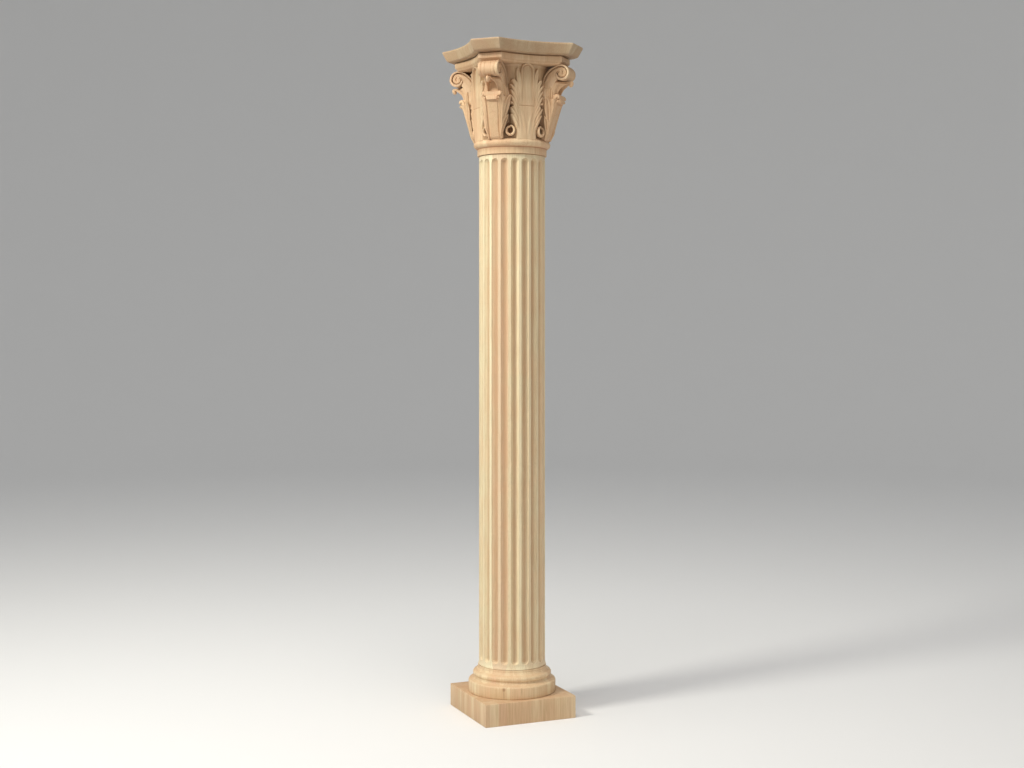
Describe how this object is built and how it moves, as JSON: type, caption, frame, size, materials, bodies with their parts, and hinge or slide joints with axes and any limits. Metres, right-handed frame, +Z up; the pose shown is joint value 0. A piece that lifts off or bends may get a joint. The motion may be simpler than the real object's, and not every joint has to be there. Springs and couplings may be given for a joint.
{
  "type": "corinthian column",
  "caption": "Free-standing wooden corinthian column: square plinth, turned base, straight fluted shaft, carved leaf capital with corner volutes, and a moulded abacus with hollow sides.",
  "frame": {"origin": "middle of the plinth's underside, where the column rests on the floor", "axes": "+Z up along the column's axis; the sides of the plinth and of the abacus face along X and Y"},
  "size_m": [0.4348, 0.4348, 2.4],
  "materials": {
    "plinth_wood": "plain satin, glued-up vertical staves",
    "base_wood": "plain satin, turned",
    "shaft_wood": "plain satin, glued-up vertical staves",
    "capital_wood": "plain satin, carved",
    "abacus_wood": "plain satin, moulded"
  },
  "bodies": {
    "root": {"plinth": "plinth_wood", "base": "base_wood", "shaft": "shaft_wood", "capital": "capital_wood", "abacus": "abacus_wood"}
  },
  "joints": []
}
